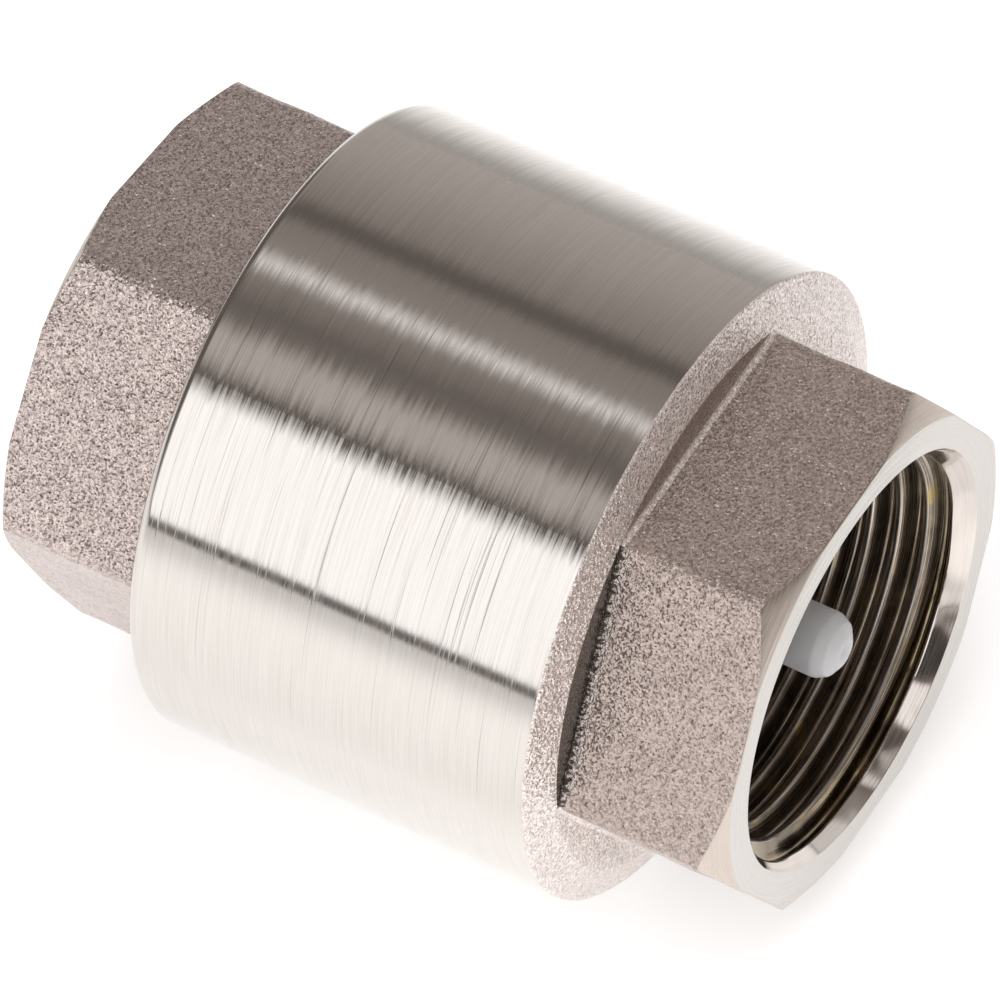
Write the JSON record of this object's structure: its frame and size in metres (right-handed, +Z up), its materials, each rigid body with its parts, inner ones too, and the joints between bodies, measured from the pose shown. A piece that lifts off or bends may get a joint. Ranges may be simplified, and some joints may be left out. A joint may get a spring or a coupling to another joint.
{
  "type": "spring check valve",
  "caption": "In-line spring check valve with a round barrel, a hexagonal end with a female pipe thread at each side, and a sprung poppet on a guide stem.",
  "frame": {"origin": "on the flow axis, at the middle of the valve's overall length", "axes": "+X along the flow, from the inlet end to the outlet end; +Z up, square to two flats of the outlet hexagon; the valve lies on its round barrel"},
  "size_m": [0.062, 0.05, 0.05],
  "materials": {
    "body_nickel": "nickel-plated brass: turned barrel, blasted forged hexagon, machined end face",
    "connector_nickel": "nickel-plated brass: blasted forged hexagon, machined end face and seat",
    "black_rubber": "smooth moulded rubber",
    "guide_plastic": "moulded acetal",
    "spring_steel": "bright stainless spring wire",
    "poppet_plastic": "off-white moulded acetal",
    "seat_rubber": "flat moulded rubber ring",
    "retainer_plastic": "off-white moulded acetal"
  },
  "bodies": {
    "housing": {"valve_body": "body_nickel", "end_connector": "connector_nickel", "joint_seal": "black_rubber", "stem_guide": "guide_plastic", "return_spring": "spring_steel"},
    "poppet_assembly": {"poppet": "poppet_plastic", "seat_seal": "seat_rubber", "seal_retainer": "retainer_plastic"}
  },
  "joints": [
    {"name": "poppet_lift", "type": "slide", "parent": "housing", "child": "poppet_assembly", "axis": [1, 0, 0], "range_m": [0, 0.0065], "stiffness_N_per_m": 120, "springref_m": -0.0125, "deforming": ["return_spring"]}
  ]
}
